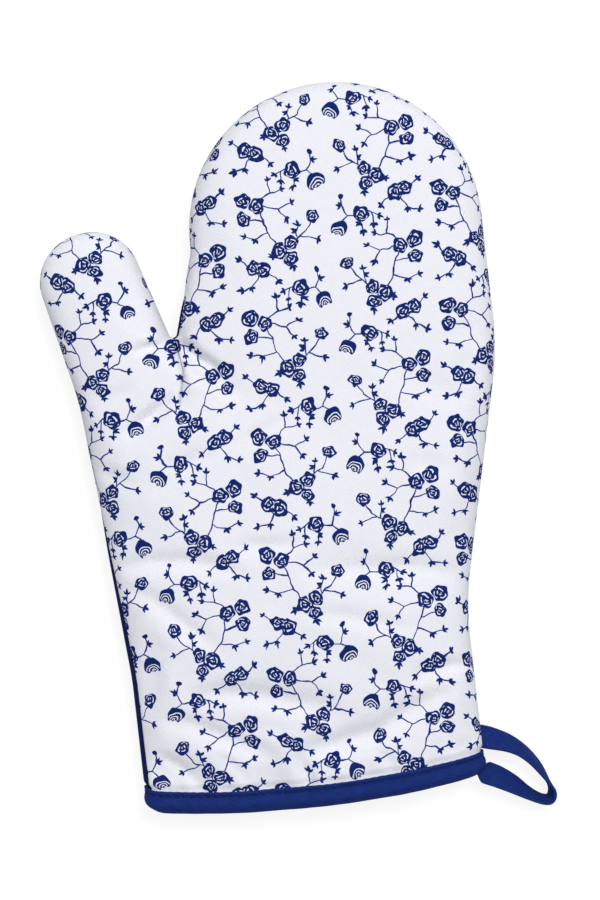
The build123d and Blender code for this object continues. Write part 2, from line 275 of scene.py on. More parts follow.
def folds(x, y, swell=1.0, hidden=False):
    """The cloth's folds, which fade down the rolled side; the crease in the crotch runs out to the seam.

    Under the cover the crease is a wider hollow, so that no filling comes through the fold.
    """
    # long shallow waves, less of them over the fingers, which are filled out smooth
    total = 0.40 * np.sin(x / 9.0 + 1.3 * np.sin(y / 23.0)) * np.sin(y / 13.0 + 0.8)
    total += 0.60 * np.sin((x + 0.6 * y) / 21.0 + 0.5) * np.sin((y - 0.4 * x) / 17.0)
    total *= 0.35 + 0.65 * smooth((60.0 - y) / 60.0)
    # small puckers where the tape is sewn on
    above = np.maximum(y - CUFF_SIDE_Y - BINDING_WIDTH, 0.0)
    total += 0.42 * np.sin(x / 2.3 + 1.7 * np.sin(x / 7.0)) * np.exp(-above / 6.0)
    total += 0.55 * np.sin(x / 6.1 + 0.9 + above / 14.0) * np.exp(-above / 16.0)
    total += on_grid(WRINKLES, x, y)
    for path, depth, width, taper in FOLDS:
        total += groove(x, y, path, depth, width, taper)
    if hidden:
        crease = groove(x, y, CROTCH_CREASE, *CREASE_HOLLOW, "held")
    else:
        crease = sum(groove(x, y, CROTCH_CREASE, *size, "held", tight=True) for size in CREASE_FOLDS)
    return total * swell ** 2 + crease * swell ** 0.7


# the cuff's edge and the seam
LEFT_DRAW, RIGHT_DRAW = 1.9, 0.4  # how far the cuff's edge is drawn back at the side seams
CUFF_BEND = 60.0  # how far up a panel follows the cuff's arc
LEFT_SHOWS, CROTCH_SHOWS = 1.55, 0.6  # how far the back shows beside the front at most


def cuff_line(x):
    """The cuff's edge: an arc, drawn back a little where it turns round the side seams."""
    arc = CUFF_CENTRE_Y - np.sqrt(CUFF_RADIUS ** 2 - np.square(np.clip(x, -75, 75)))
    at_left, at_right = smooth((-x - 64.0) / 8.0), smooth((x - 65.0) / 7.0)
    return arc + LEFT_DRAW * at_left ** 2 + RIGHT_DRAW * at_right ** 2


def cuffed(x, y, inside_tape=RAW_EDGE):
    """Bends a panel laid out with a straight cuff to the cuff's arc; its raw edge stops inside the tape."""
    return y + (cuff_line(x) + inside_tape - CUFF_SIDE_Y) * (1 - smooth((y - CUFF_SIDE_Y) / CUFF_BEND))


def tucked(y):
    """How far the cloth is pressed in under the cuff's tape."""
    return 1 - smooth((y - CUFF_SIDE_Y - BINDING_WIDTH + 0.9) / 1.6)


def drawn_up():
    """How far the seam is drawn up over the roll, so that the back shows: on the left and by the crotch."""
    x, y = EDGE.T
    on_left = np.where(ALL > AT_LEFT - 25, LEFT_SHOWS * smooth((44.0 - y) / 110.0), 0.0)
    by_crotch = (ALL < AT_CROTCH + 3) & (y < 110) & (x < 0)
    shows = CROTCH_SHOWS * smooth((102.0 - y) / 16.0) * smooth((y - 74.0) / 5.0)
    return on_left + np.where(by_crotch, shows, 0.0)


DRAWN_UP = drawn_up()
SEAM_AT = np.arccos((1 - np.maximum(DRAWN_UP, 0.002) / ROLL_REACH) ** (ROLL_POWER / 2))  # round the roll


# curves and panels
def hermite(at, values, slopes, where):
    """A smooth curve through values at given places, with given slopes there."""
    k = np.clip(np.searchsorted(at, where, side="right") - 1, 0, len(at) - 2)
    span = at[k + 1] - at[k]
    u = (where - at[k]) / span
    if values.ndim == 2:
        span, u = span[:, None], u[:, None]
    return (values[k] * (1 + 2 * u) * (1 - u) ** 2 + values[k + 1] * u * u * (3 - 2 * u)
            + span * (slopes[k] * u * (1 - u) ** 2 - slopes[k + 1] * u * u * (1 - u)))


def spline(points, count):
    """A smooth line through points, by chord length in plan."""
    run = run_along(points[:, :2])
    return hermite(run, points, np.gradient(points, run, axis=0), np.linspace(0, run[-1], count))


def curve_through(at, values, where):
    """A smooth curve through values at given places, without overshoot."""
    slope = np.diff(values) / np.diff(at)
    before, after = slope[:-1], slope[1:]
    middle = np.where(after * before > 0, 2 * after * before / (after + before + 1e-12), 0.0)
    return hermite(at, values, np.concatenate([slope[:1], middle, slope[-1:]]), where)


CREASE_POINTS, CREASE_CLEAR = 45, 2.6  # points down the crease, and how far other points keep off it
BESIDE_CREASE = (-2.1, -1.3, -0.75, -0.4, -0.2, 0.2, 0.4, 0.75, 1.3, 2.1)


def field_points(loop, spacing, crease_line):
    """Places inside a loop on a staggered grid, closer beside the crease, clear of the loop's own points."""
    low, high = loop.min(0), loop.max(0)
    rows = np.arange(low[1], high[1], spacing * 0.866)
    xs = np.arange(low[0], high[0], spacing)
    x = (xs[None] + (np.arange(len(rows)) % 2)[:, None] * spacing / 2).ravel()
    y = np.repeat(rows, len(xs))
    if len(crease_line):
        side = np.gradient(crease_line, axis=0)[:, ::-1] * (-1, 1)
        side /= np.linalg.norm(side, axis=1)[:, None]
        away = np.linalg.norm(np.stack([x, y], 1)[:, None] - crease_line[None], axis=2).min(1) > CREASE_CLEAR
        beside = np.concatenate([crease_line + side * off for off in BESIDE_CREASE])
        x, y = np.concatenate([x[away], beside[:, 0]]), np.concatenate([y[away], beside[:, 1]])
    clear = in_loop(x, y, loop)
    x, y = x[clear], y[clear]
    room = np.full(x.shape, np.inf)
    for a, b in zip(loop, np.roll(loop, -1, axis=0)):
        room = np.minimum(room, off_stretch(x, y, a, b)[0])
    return np.stack([x, y], 1)[room > 0.25 * spacing]


def filled(loop, places, chains, ring, start):
    """Triangles that fill a loop, with edges along it and along chains of places, and places off the ring.

    The loop comes first among the places and begins with a ring of points, whose numbers run on from start.
    """
    edges = [(k, (k + 1) % len(loop)) for k in range(len(loop))]
    for chain in chains:
        edges += zip(chain[:-1], chain[1:])
    laid = delaunay_2d_cdt([tuple(p) for p in places], edges, [], 0, 1e-5, True)
    spots, triangles = np.array([tuple(p) for p in laid[0]]), np.array(laid[2])
    middle = spots[triangles].mean(1)
    triangles = triangles[in_loop(middle[:, 0], middle[:, 1], loop)]
    number, fresh = {}, []
    for k, source in enumerate(laid[3]):
        on_ring = [s for s in source if s < ring]
        number[k] = start + (on_ring[0] if on_ring else ring + len(fresh))
        if not on_ring:
            fresh.append(spots[k])
    return np.vectorize(number.get)(triangles), np.array(fresh)


def panel(columns, inset, height, flat, surface, spacing, up, crease=(), inside_tape=RAW_EDGE):
    """A sewn panel: rings of cloth rolled over the side from the seam, and the field inside them.

    inset, height and flat are rings by columns; surface gives the field's height at a place in plan.
    """
    rings, count = inset.shape
    plan, unrolled = in_plan(columns, inset), in_plan(columns, flat)
    inner = plan[-1]
    cuff = ceil(np.linalg.norm(inner[0] - inner[-1]) / spacing)
    hem = [inner[-1] + (inner[0] - inner[-1]) * k / cuff for k in range(1, cuff)]
    loop = np.concatenate([inner, hem])
    crease_line = spline(np.array(crease), CREASE_POINTS)[1:] if len(crease) else []
    field = field_points(loop, spacing, crease_line)

    # the hand's piece and the thumb's meet on a line across the thumb's root
    marked = AT_CROTCH, AT_LEFT, AT_CREASE
    crotch, leftmost, creased = (int(np.argmin(np.abs(columns - at))) for at in marked)
    root = inner[leftmost] - inner[crotch]
    steps = ceil(np.linalg.norm(root) / spacing)
    root_line = [inner[crotch] + root * k / steps for k in range(1, steps)]
    beside = np.abs((field - inner[crotch]) @ np.array((-root[1], root[0]))) / np.linalg.norm(root)
    between = ((field - inner[crotch]) @ root > 0) & ((field - inner[leftmost]) @ root < 0)
    field = field[~(between & (beside < 0.4 * spacing))]

    # the field's triangles have edges along both lines, and its own points come after the rings'
    on_root = range(len(loop), len(loop) + len(root_line))
    chains = [[crotch, *on_root, leftmost]]
    if len(crease):
        chains.append([creased, *range(on_root.stop, on_root.stop + len(crease_line))])
    laid = [loop, [*root_line, *crease_line], field]
    triangles, fresh = filled(loop, np.concatenate(laid), chains, count, (rings - 1) * count)
    xy = np.concatenate([plan.reshape(-1, 2), fresh])
    z = np.concatenate([height.ravel(), surface(fresh[:, 0], fresh[:, 1])])
    corner = xy[triangles]
    clockwise = np.cross(corner[:, 1] - corner[:, 0], corner[:, 2] - corner[:, 0]) < 0
    triangles[clockwise] = triangles[clockwise][:, ::-1]
    r, j = np.meshgrid(np.arange(rings - 1), np.arange(count - 1), indexing="ij")
    a = (r * count + j).ravel()
    quads = np.stack([a, a + 1, a + 1 + count, a + count], 1)
    quad_thumb = ((j >= crotch) & (j < leftmost)).ravel()
    centre = xy[triangles].mean(1) - inner[crotch]
    tri_thumb = (root[0] * centre[:, 1] - root[1] * centre[:, 0] < 0) & (centre[:, 0] < 0)
    if not up:
        quads, triangles = quads[:, ::-1], triangles[:, ::-1]
    bent = cuffed(xy[:, 0], xy[:, 1], inside_tape)
    flat_xy = np.concatenate([unrolled.reshape(-1, 2), fresh])
    flat_xy = np.stack([flat_xy[:, 0], flat_xy[:, 1] + bent - xy[:, 1]], 1)
    return {"points": np.stack([xy[:, 0], bent, z], 1), "flat": flat_xy,
            "quads": quads, "triangles": triangles, "quad_thumb": quad_thumb, "tri_thumb": tri_thumb}


# pieces
def facing(points, faces):
    """The direction out of a surface at each of its points."""
    total = np.zeros_like(points)
    for group in faces:
        a, b, c, last = (points[group[:, k]] for k in (0, 1, 2, -1))
        normal = np.cross(c - a, last - b) if group.shape[1] == 4 else np.cross(b - a, c - a)
        for k in range(group.shape[1]):
            np.add.at(total, group[:, k], normal)
    return total / np.maximum(np.linalg.norm(total, axis=1), 1e-12)[:, None]


def tube_faces(rows, around):
    """Faces of a tube of so many rows of points, each row a closed ring."""
    r, j = np.meshgrid(np.arange(rows - 1), np.arange(around), indexing="ij")
    row, after = r * around, (j + 1) % around
    return np.stack([row + j, row + after, row + around + after, row + around + j], -1).reshape(-1, 4)


def in_scene(name, data):
    """A new object in the scene."""
    made = bpy.data.objects.new(name, data)
    scene.collection.objects.link(made)
    return made


def piece(name, points, faces, flat, material, normals=None):
    """A mesh object from points in millimetres, with the flat cloth as its UV map."""
    mesh = bpy.data.meshes.new(name)
    mesh.from_pydata((np.asarray(points) * MM).tolist(), [], [list(f) for f in faces])
    if flat is not None:
        layer = mesh.uv_layers.new(name="flat cloth")
        corner = np.empty(len(mesh.loops), int)
        mesh.loops.foreach_get("vertex_index", corner)
        place = (np.asarray(flat)[corner] + (FLAT_X, FLAT_Y)) / FLAT_SPAN
        layer.data.foreach_set("uv", place.ravel())
    mesh.polygons.foreach_set("use_smooth", np.ones(len(mesh.polygons), bool))
    if normals is not None:
        mesh.normals_split_custom_set_from_vertices(np.asarray(normals).tolist())
    mesh.materials.append(material)
    return in_scene(name, mesh)


def of_cloth(name, points, faces, flat, material, thickness, normals):
    """A piece with the cloth's thickness added behind its face, closed along its raw edges."""
    count = len(points)
    directed = {(int(f[k]), int(f[(k + 1) % len(f)])) for f in faces for k in range(len(f))}
    rim = [(b, a, a + count, b + count) for a, b in directed if (b, a) not in directed]
    behind = [[i + count for i in reversed(list(f))] for f in faces]
    return piece(name, np.concatenate([points, points - normals * thickness]), [*faces, *behind, *rim],
                 np.concatenate([flat, flat]), material, np.concatenate([normals, -normals]))


def hand_and_thumb(name, sewn, material, thickness):
    """The two pieces of one panel, which share their points and shading across the thumb's root."""
    made = []
    normals = facing(sewn["points"], (sewn["quads"], sewn["triangles"]))
    flat = sewn["flat"]
    for suffix, thumb in (("", False), ("_thumb", True)):
        faces = [*sewn["quads"][sewn["quad_thumb"] == thumb], *sewn["triangles"][sewn["tri_thumb"] == thumb]]
        used = np.unique(np.concatenate(faces))
        place = np.full(len(sewn["points"]), -1)
        place[used] = np.arange(len(used))
        made.append(of_cloth("visual_" + name + suffix, sewn["points"][used], [place[f] for f in faces],
                             flat[used], material, thickness, normals[used]))
        corners = [flat[f].T for f in faces]
        twice = [np.sum(x * np.roll(y, -1) - y * np.roll(x, -1)) for x, y in corners]
        size = flat[used].max(0) - flat[used].min(0)
        made[-1]["cut"] = [*(size * MM), sum(np.abs(twice)) / 2 * MM * MM]
    return made


# materials
INK, THIN_INK = "#132563", "#4C68C4"  # the print's ink, and its paler blue where it runs out
CLOTH_RELIEF = 0.00012  # depth of the weave, in metres


def hex_colour(code):
    """sRGB hex to the linear colour that the shader takes."""
    parts = [int(code[i:i + 2], 16) / 255 for i in (1, 3, 5)]
    return (*[p / 12.92 if p <= 0.04045 else ((p + 0.055) / 1.055) ** 2.4 for p in parts], 1.0)


def add_node(tree, kind, *values, out=0, **settings):
    """Adds a node with its settings, feeds its inputs in order, or by key from a dict; gives one output.

    A kind's operation stands after a dot.
    """
    kind, _, operation = kind.partition(".")
    made = tree.nodes.new(kind if kind.startswith("Geometry") else "ShaderNode" + kind)
    if operation:
        made.operation = operation
    for key, value in settings.items():
        setattr(made, key, value)
    fed = values[0] if values and isinstance(values[0], dict) else dict(enumerate(values))
    for key, value in fed.items():
        if isinstance(value, bpy.types.NodeSocket):
            tree.links.new(value, made.inputs[key])
        else:
            made.inputs[key].default_value = value
    return made.outputs[out]


def soft_edge(add, distance, width=0.13):
    """1 inside a printed shape, 0 outside, with the slight bleed of ink into cotton between."""
    return add("MapRange", distance, -width, width, 1.0, 0.0, interpolation_type="SMOOTHSTEP")


# The print: sprigs of roses in one ink, in a half repeat 40 mm wide and 48 mm high. The next half repeat is
# its mirror image, dropped by 20 mm. Places are in millimetres from the half repeat's lower left corner.
# It is seen in two windows that start at different heights, so that neither of its two sprigs is cut.
REPEAT_WIDE, REPEAT_HIGH, REPEAT_DROP = 40.0, 48.0, 20.0
BRANCH_START, LOW_START = 3.0, -20.0
BRANCH_ROSES = [(19.4, 17.2, 0.2), (24.2, 20.2, 2.3), (23.8, 14.0, 4.1), (5.6, 38.4, 1.2), (11.6, 36.0, 3.1),
                (5.8, 31.2, 5.9), (33.8, 30.4, 5.2)]  # x, y, turn
LOW_ROSES = [(8.0, 11.0, 0.9), (12.2, 9.2, 4.6), (26.6, 1.6, 2.8)]
BRANCH_STEMS = [(18.2, 19.6, 15.4, 24.4), (15.4, 24.4, 13.8, 29.8), (13.8, 29.8, 12.4, 33.6),
                (13.8, 29.8, 8.0, 30.8), (15.4, 24.4, 9.6, 22.8), (9.6, 22.8, 5.4, 24.0),
                (13.2, 38.2, 16.8, 41.0), (16.8, 41.0, 16.6, 45.6), (16.8, 41.0, 21.0, 42.0),
                (14.2, 35.6, 20.0, 34.0), (20.0, 34.0, 24.4, 36.4), (20.0, 34.0, 22.8, 30.4),
                (26.4, 21.8, 30.6, 24.6), (30.6, 24.6, 32.6, 28.0), (28.4, 23.0, 34.4, 20.8),
                (26.8, 22.6, 27.0, 27.0)]  # x, y of both ends
LOW_STEMS = [(5.8, 11.8, 3.2, 14.2), (14.4, 8.0, 17.4, 5.4), (29.2, 0.8, 32.6, 1.2), (32.6, 1.2, 35.6, -0.8),
             (32.6, 1.2, 34.6, 5.2), (34.6, 5.2, 34.0, 8.4), (24.2, 2.8, 20.2, 0.6), (22.2, 1.7, 21.8, -2.2),
             (27.4, -0.8, 26.8, -5.4), (10.2, 7.4, 7.6, 3.4), (7.6, 3.4, 3.6, 2.2)]
BRANCH_LEAVES = [(5.4, 24.0, 165), (9.8, 22.9, 250), (16.6, 45.6, 95), (21.0, 42.0, 15), (24.4, 36.4, 35),
                 (22.8, 30.4, -60), (34.4, 20.8, -20), (27.0, 27.0, 85), (26.9, 24.6, 150), (24.2, 11.2, -85),
                 (16.4, 15.6, 200)]  # x, y, pointing, in degrees
LOW_LEAVES = [(3.2, 14.2, 140), (17.4, 5.4, -42), (34.7, 5.4, 15), (20.2, 0.6, 205), (21.8, -2.2, 265),
              (26.8, -4.6, -95), (27.2, -2.2, -40), (3.6, 2.2, 185), (7.6, 3.4, -80)]
DOME_BUD, BALL_BUD = (36.0, -3.6, -70), (34.0, 9.0)
STEM_HALF, ROSE_RADIUS, DOME_RADIUS, BALL_RADIUS = 0.25, 3.0, 3.4, 1.0
MIDDLE_LEAF, SIDE_LEAF = (2.7, 0.64), (2.2, 0.54)  # length and half width
SIDE_LEAF_TURN = radians(52)


def print_windows(add, flat):
    """Where each place of the flat cloth is in the half repeat, by the branch's window and the other."""
    # a hand-cut screen: the lines waver by about half a millimetre
    noise = add("TexNoise", {"Vector": flat, "Scale": 0.17, "Detail": 1.0}, out=1)
    waver = add("VectorMath.MULTIPLY_ADD", noise, (3.2, 3.2, 0.0), (-1.6, -1.6, 0.0))
    drawn = add("VectorMath.ADD", flat, waver)
    drawn = add("Mapping", {"Vector": drawn, "Rotation": (0.0, 0.0, radians(2.5)),
                                            "Location": (14.0, 6.0, 0.0)})
    x, y, _ = add("SeparateXYZ", drawn).node.outputs
    folded = add("Math.PINGPONG", x, REPEAT_WIDE)
    column = add("Math.FLOOR", add("Math.DIVIDE", x, REPEAT_WIDE))
    odd = add("Math.FLOORED_MODULO", column, 2.0)
    dropped = add("Math.MULTIPLY_ADD", odd, REPEAT_DROP, y)
    windows = []
    for start in (BRANCH_START, LOW_START):
        level = add("Math.WRAP", dropped, start + REPEAT_HIGH, start)
        windows.append(add("CombineXYZ", folded, level, 0.0))
    return windows


def nearest(add, place, marks):
    """How far off the nearest of some marks is from a place, and that mark."""
    best, chosen = 99.0, (0.0, 0.0, 0.0)
    for mark in marks:
        away = add("VectorMath.DISTANCE", place, (*mark[:2], 0.0), out=1)
        closer = add("Math.LESS_THAN", away, best)
        chosen = add("Mix", {0: closer, 4: chosen, 5: mark}, out=1, data_type="VECTOR")
        best = add("Math.MINIMUM", away, best)
    return best, chosen


def nearest_of_both(add, windows, marks):
    """The offset from the nearest mark in either window, that mark's turn, and its distance."""
    far, mark = zip(*(nearest(add, place, few) for place, few in zip(windows, marks)))
    which = add("Math.LESS_THAN", far[1], far[0])
    offsets = [add("VectorMath.SUBTRACT", place, at) for place, at in zip(windows, mark)]
    off = add("Mix", {0: which, 4: offsets[0], 5: offsets[1]}, out=1, data_type="VECTOR")
    x, y, back = add("SeparateXYZ", off).node.outputs
    turn = add("Math.MULTIPLY", back, -1.0)
    return x, y, turn, add("Math.MINIMUM", *far)


def turned(add, x, y, angle):
    """Coordinates along a direction, and across it to either side."""
    c, s = (add("Math." + kind, angle) for kind in ("COSINE", "SINE"))
    y_along = add("Math.MULTIPLY", y, s)
    along = add("Math.MULTIPLY_ADD", x, c, y_along)
    y_across = add("Math.MULTIPLY", y, c)
    x_across = add("Math.MULTIPLY", x, s)
    across = add("Math.SUBTRACT", y_across, x_across)
    return along, add("Math.ABSOLUTE", across)


def leaf(add, along, across, length, half_width):
    """Ink of one pointed leaf that starts at the origin; across is counted from its middle line."""
    part = add("Math.MULTIPLY", along, 1.0 / length, use_clamp=True)
    rest = add("Math.SUBTRACT", 1.0, part)
    belly = add("Math.MULTIPLY", part, rest)
    lean = add("Math.MULTIPLY_ADD", part, -2.0 * half_width, 5.0 * half_width)
    reach = add("Math.MULTIPLY", belly, lean)
    outside = add("Math.SUBTRACT", across, reach)
    return soft_edge(add, add("Math.ADD", outside, 0.08))


def stem_ink(add, windows):
    """Ink of the stems."""
    near = 9.0
    for place, stems in zip(windows, (BRANCH_STEMS, LOW_STEMS)):
        for x0, y0, x1, y1 in stems:
            dx, dy = x1 - x0, y1 - y0
            size = dx * dx + dy * dy
            part = add("VectorMath.DOT_PRODUCT", place, (dx / size, dy / size, 0.0), out=1)
            start = (x0 * dx + y0 * dy) / size
            part = add("Math.SUBTRACT", part, start, use_clamp=True)
            beside = add("VectorMath.MULTIPLY_ADD", part, (dx, dy, 0.0), (x0, y0, 0.0))
            away = add("VectorMath.DISTANCE", place, beside, out=1)
            near = add("Math.MINIMUM", away, near)
    return soft_edge(add, add("Math.SUBTRACT", near, STEM_HALF))


def leaf_ink(add, windows):
    """Ink of the leaves: at each tip one that points on and one to either side."""
    both = BRANCH_LEAVES, LOW_LEAVES
    tips = [[(x, y, radians(pointing)) for x, y, pointing in leaves] for leaves in both]
    x, y, pointing, _ = nearest_of_both(add, windows, tips)
    along, across = turned(add, x, y, pointing)
    middle = leaf(add, along, across, *MIDDLE_LEAF)
    sides = leaf(add, *turned(add, along, across, SIDE_LEAF_TURN), *SIDE_LEAF)
    return add("Math.MAXIMUM", middle, sides)


def rose_ink(add, windows):
    """Ink of the roses, dark heads with broken white swirls as in a lino cut, and where other ink may lie."""
    x, y, turn, away = nearest_of_both(add, windows, (BRANCH_ROSES, LOW_ROSES))
    vary = add("Math.SINE", add("Math.MULTIPLY", turn, 7.0))
    radius = add("Math.MULTIPLY_ADD", vary, 0.34, ROSE_RADIUS)
    reach = add("Math.DIVIDE", away, radius)
    around = add("Math.ADD", add("Math.ARCTAN2", y, x), turn)
    # a scalloped edge
    fives = add("Math.COSINE", add("Math.MULTIPLY", around, 5.0))
    threes = add("Math.COSINE", add("Math.MULTIPLY_ADD", around, 3.0, 1.4))
    edge = add("Math.MULTIPLY_ADD", threes, -0.04, -1.0)
    edge = add("Math.MULTIPLY_ADD", fives, -0.07, edge)
    outside = add("Math.MULTIPLY", add("Math.ADD", reach, edge), radius)
    # white swirls between the petals, broken here and there, and none in the heart or at the rim
    swell = add("Math.MULTIPLY_ADD", threes, 0.32, 2.25)
    swell = add("Math.MULTIPLY", swell, reach)
    swirl = add("Math.MULTIPLY_ADD", around, -1.0 / (2 * pi), swell)
    swirl = add("Math.PINGPONG", swirl, 0.5)
    dark = soft_edge(add, add("Math.SUBTRACT", swirl, 0.325), 0.05)
    white = add("Math.SUBTRACT", 1.0, dark)
    breaks = add("Math.MULTIPLY", around, 3.0)
    breaks = add("Math.MULTIPLY_ADD", reach, 6.0, breaks)
    breaks = add("Math.GREATER_THAN", add("Math.COSINE", breaks), -0.45)
    ring = add("Math.COMPARE", reach, 0.43, 0.37)
    white = add("Math.MULTIPLY", white, add("Math.MULTIPLY", breaks, ring))
    petals = add("Math.SUBTRACT", 1.0, white)
    petals = add("Math.MULTIPLY", soft_edge(add, outside), petals)
    return petals, add("Math.GREATER_THAN", outside, 0.0)


def bud_ink(add, place):
    """Ink of a nodding bud, striped below its cap, and of a small round one."""
    bud_x, bud_y, hang = DOME_BUD
    off = add("VectorMath.SUBTRACT", place, (bud_x, bud_y, 0.0))
    hang = radians(hang)
    down = add("VectorMath.DOT_PRODUCT", off, (cos(hang), sin(hang), 0.0), out=1)
    aside = add("VectorMath.DOT_PRODUCT", off, (-sin(hang), cos(hang), 0.0), out=1)
    away = add("VectorMath.LENGTH", off, out=1)
    cap = add("Math.SUBTRACT", away, DOME_RADIUS)
    frill = add("Math.COSINE", add("Math.MULTIPLY", aside, 3.0))
    hem = add("Math.MULTIPLY_ADD", frill, -0.30, add("Math.ADD", down, -2.3))
    outside = add("Math.MAXIMUM", cap, hem)
    heart = (1.8 * cos(hang), 1.8 * sin(hang), 0.0)
    heart = add("VectorMath.DISTANCE", off, heart, out=1)
    stripe = add("Math.PINGPONG", add("Math.MULTIPLY", heart, 0.95), 0.5)
    stripe = add("Math.GREATER_THAN", stripe, 0.31)
    below = add("Math.COMPARE", heart, 1.8, 1.5)
    inner = add("Math.LESS_THAN", outside, -0.4)
    white = add("Math.MULTIPLY", stripe, add("Math.MULTIPLY", below, inner))
    dark = add("Math.SUBTRACT", 1.0, white)
    dome = add("Math.MULTIPLY", soft_edge(add, outside), dark)
    ball = add("VectorMath.DISTANCE", place, (*BALL_BUD, 0.0), out=1)
    ball = soft_edge(add, add("Math.SUBTRACT", ball, BALL_RADIUS))
    return add("Math.MAXIMUM", dome, ball)


def rose_print(add, flat):
    """How much ink the print leaves at each place of the flat cloth, from 0 to 1."""
    windows = print_windows(add, flat)
    ink = add("Math.MAXIMUM", stem_ink(add, windows), leaf_ink(add, windows))
    roses, clear = rose_ink(add, windows)
    ink = add("Math.MULTIPLY", ink, clear)
    ink = add("Math.MAXIMUM", ink, roses)
    return add("Math.MAXIMUM", ink, bud_ink(add, windows[1]))


def new_material(name, roughness, specular):
    """A new material, its shader's inputs, and what adds nodes to it."""
    material = bpy.data.materials.new(name)
    material.use_nodes = True
    shader = material.node_tree.nodes["Principled BSDF"].inputs
    shader["Roughness"].default_value = roughness
    shader["Specular IOR Level"].default_value = specular
    return material, shader, partial(add_node, material.node_tree)


def cloth(name, colour, shade, roughness, sheen, pitch, slant, relief, printed=False):
    """Woven cloth: slanting ribs of thread, uneven dye, and the print where there is one."""
    material, shader, add = new_material(name, roughness, specular=0.05)
    shader["Sheen Weight"].default_value = sheen
    shader["Sheen Roughness"].default_value = 0.5
    uv = add("UVMap", uv_map="flat cloth")
    flat = add("VectorMath.MULTIPLY_ADD", uv, (FLAT_SPAN, FLAT_SPAN, 0.0), (-FLAT_X, -FLAT_Y, 0.0))
    wave = 2 * pi / pitch
    across = (wave * cos(slant), wave * sin(slant), 0.0)
    over = (-wave * 0.5 * sin(slant), wave * 0.5 * cos(slant), 0.0)
    rib, turn = (add("Math.SINE", add("VectorMath.DOT_PRODUCT", flat, way, out=1))
                 for way in (across, over))
    weave = add("Math.MULTIPLY_ADD", turn, 0.35, rib)
    slub = add("TexNoise", {"Vector": flat, "Scale": 0.35, "Detail": 3.0})
    mottle = add("Math.MULTIPLY_ADD", weave, 0.16, slub, use_clamp=True)
    dyed = add("Mix", {0: mottle, 6: hex_colour(shade), 7: hex_colour(colour)}, out=2, data_type="RGBA")
    if printed:
        worn = add("MapRange", slub, 0.3, 0.75, 1.0, 0.985)
        ink = add("Math.MULTIPLY", rose_print(add, flat), worn)
        thin = add("Math.MULTIPLY", ink, 2.0, use_clamp=True)
        full = add("Math.MULTIPLY_ADD", ink, 2.0, -1.0, use_clamp=True)
        for amount, colour in ((thin, THIN_INK), (full, INK)):
            dyed = add("Mix", {0: amount, 6: dyed, 7: hex_colour(colour)}, out=2, data_type="RGBA")
    material.node_tree.links.new(dyed, shader["Base Color"])
    bump = add("Bump", {"Height": weave, "Strength": relief, "Distance": CLOTH_RELIEF})
    material.node_tree.links.new(bump, shader["Normal"])
    return material


# Cotton twill printed with one indigo ink: matt, a cold white, fine slanting ribs. The real ribs are
# about 0.45 mm apart, hardly more than a pixel, which is too fine to show, so they are drawn at 0.9 mm.
PRINTED = cloth("printed cotton twill", "#F1F1F7", "#EAEAF2", 0.9, 0.0, 0.9, radians(30), 0.16, printed=True)
# Piece-dyed cotton twill: dark blue with lighter worn ribs, drawn at 0.9 mm as above.
BLUE = cloth("blue cotton twill", "#14235A", "#0F1B48", 0.85, 0.0, 0.9, radians(30), 0.5)
# Polyester wadding: off-white, hairy, no weave to see; the long pitch gives only its lumps.
FLUFF = cloth("polyester wadding", "#F0F0EA", "#E2E2DA", 1.0, 0.2, 9.0, radians(70), 0.6)
# White lining cotton: plain weave, matt, a warmer white than the cover; drawn at 1.0 mm.
LINED = cloth("white lining cotton", "#ECEAE4", "#DFDCD4", 0.9, 0.0, 1.0, 0.0, 0.4)
# Bias tape of dyed poplin: brighter, smoother and closer woven than the twill; ribs drawn at 0.8 mm.
TAPE = cloth("blue cotton bias tape", "#1F3780", "#15255F", 0.75, 0.0, 0.8, radians(45), 0.45)


def thread(name, colour, shade):
    """Spun sewing thread: two plies that twist, with a slight lustre."""
    material, shader, add = new_material(name, roughness=0.6, specular=0.15)
    place = add("TexCoord", out=3)
    ply = add("TexWave", {"Vector": place, "Scale": 700.0, "Distortion": 1.5, "Detail": 1.0}, out=1)
    dyed = add("Mix", {0: ply, 6: hex_colour(shade), 7: hex_colour(colour)}, out=2, data_type="RGBA")
    material.node_tree.links.new(dyed, shader["Base Color"])
    return material


BLUE_THREAD = thread("blue sewing thread", "#121F58", "#0A123A")
WHITE_THREAD = thread("white sewing thread", "#ECECE8", "#D6D6D0")


# the front's side and field
def roll(angle):
    """A quarter of a squared-off ellipse: how far up and out a padded side is at an angle round it."""
    return np.sin(angle) ** (2 / ROLL_POWER), np.maximum(np.cos(angle), 0) ** (2 / ROLL_POWER)


def rolled(columns, angle, sunk):
    """Inset and height of the padded side at angles round its roll, sunk so far below the cover's face."""
    swell, draw = roll(angle)
    inset = sunk + (ROLL_REACH - sunk) * (1 - draw)
    x, y = np.moveaxis(in_plan(columns, inset), -1, 0)
    press = tucked(y) * (sunk < PRESSED_DEPTH)
    height = SEAM_HEIGHT + (rise(x, y) - sunk - press) * swell + folds(x, y, swell, sunk > 0)
    return inset + press * np.cos(angle), height


